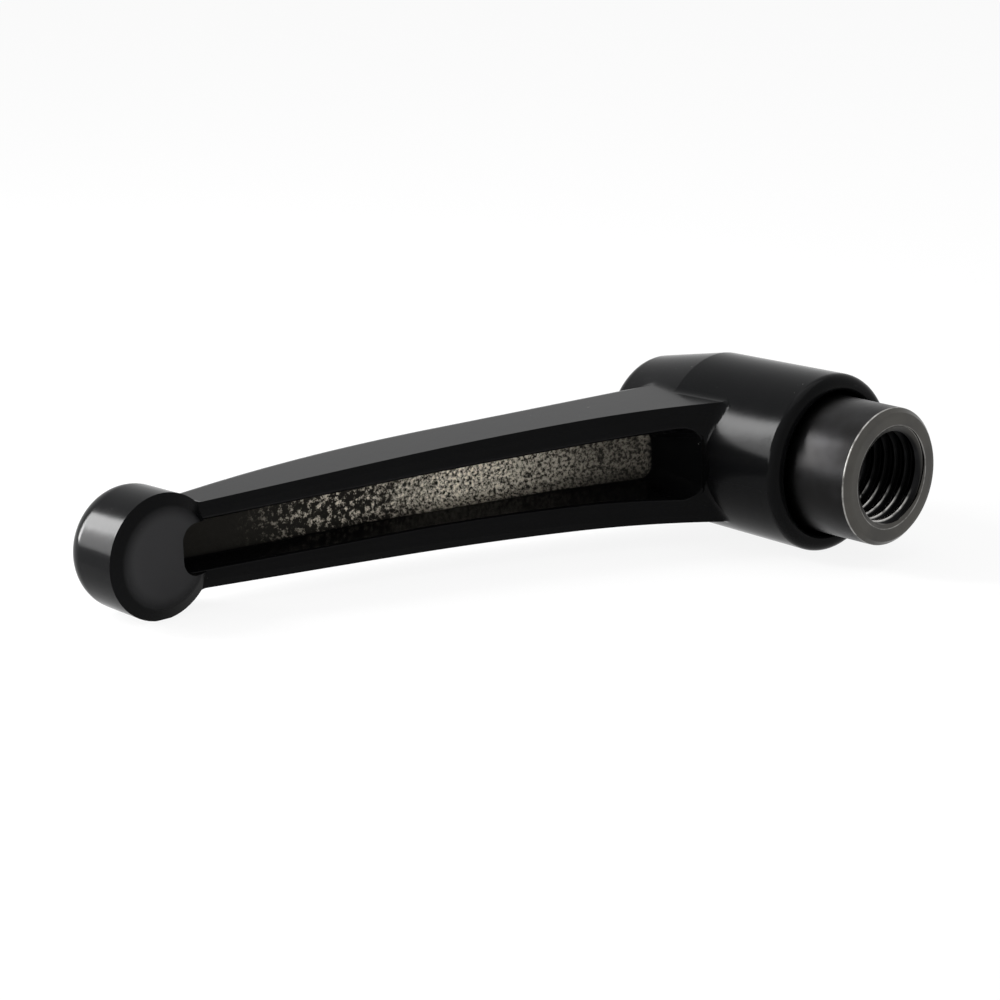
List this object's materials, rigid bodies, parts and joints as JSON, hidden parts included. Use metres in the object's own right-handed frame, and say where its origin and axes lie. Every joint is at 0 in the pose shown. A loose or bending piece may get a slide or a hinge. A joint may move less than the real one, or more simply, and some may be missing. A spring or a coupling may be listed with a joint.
{
  "type": "adjustable clamping lever",
  "caption": "Die-cast clamping lever with a round knob at its tip and a ratcheting hub round a threaded steel insert, lifted to re-index the arm.",
  "frame": {"origin": "centre of the insert's end face, on the thread's axis; the thread mount's point is 0.57 mm further in, where the countersink ends", "axes": "the insert opens towards -Y, the arm points towards -X and climbs towards +Y, and +Z is normal to the lever's plane of symmetry, upwards as it lies on its flank"},
  "size_m": [0.1196, 0.0643, 0.0274],
  "materials": {
    "coated_zinc": "glossy black powder coating over zinc die casting",
    "blackened_steel": "satin blackened turned steel, bright where worn on its edges",
    "screw_steel": "satin blackened steel",
    "spring_steel": "bare drawn spring wire"
  },
  "bodies": {
    "insert": {"threaded_insert": "blackened_steel", "retaining_screw": "screw_steel"},
    "spring": {"compression_spring": "spring_steel"},
    "lever": {"lever": "coated_zinc"}
  },
  "joints": [
    {"name": "lever_index", "type": "hinge", "parent": "insert", "child": "spring", "pos_m": [0, 0, 0], "axis": [0, 1, 0], "continuous": true},
    {"name": "lever_lift", "type": "slide", "parent": "spring", "child": "lever", "axis": [0, 1, 0], "range_m": [0, 0.0055], "stiffness_N_per_m": 1500, "springref_m": -0.004, "deforming": ["compression_spring"]}
  ]
}
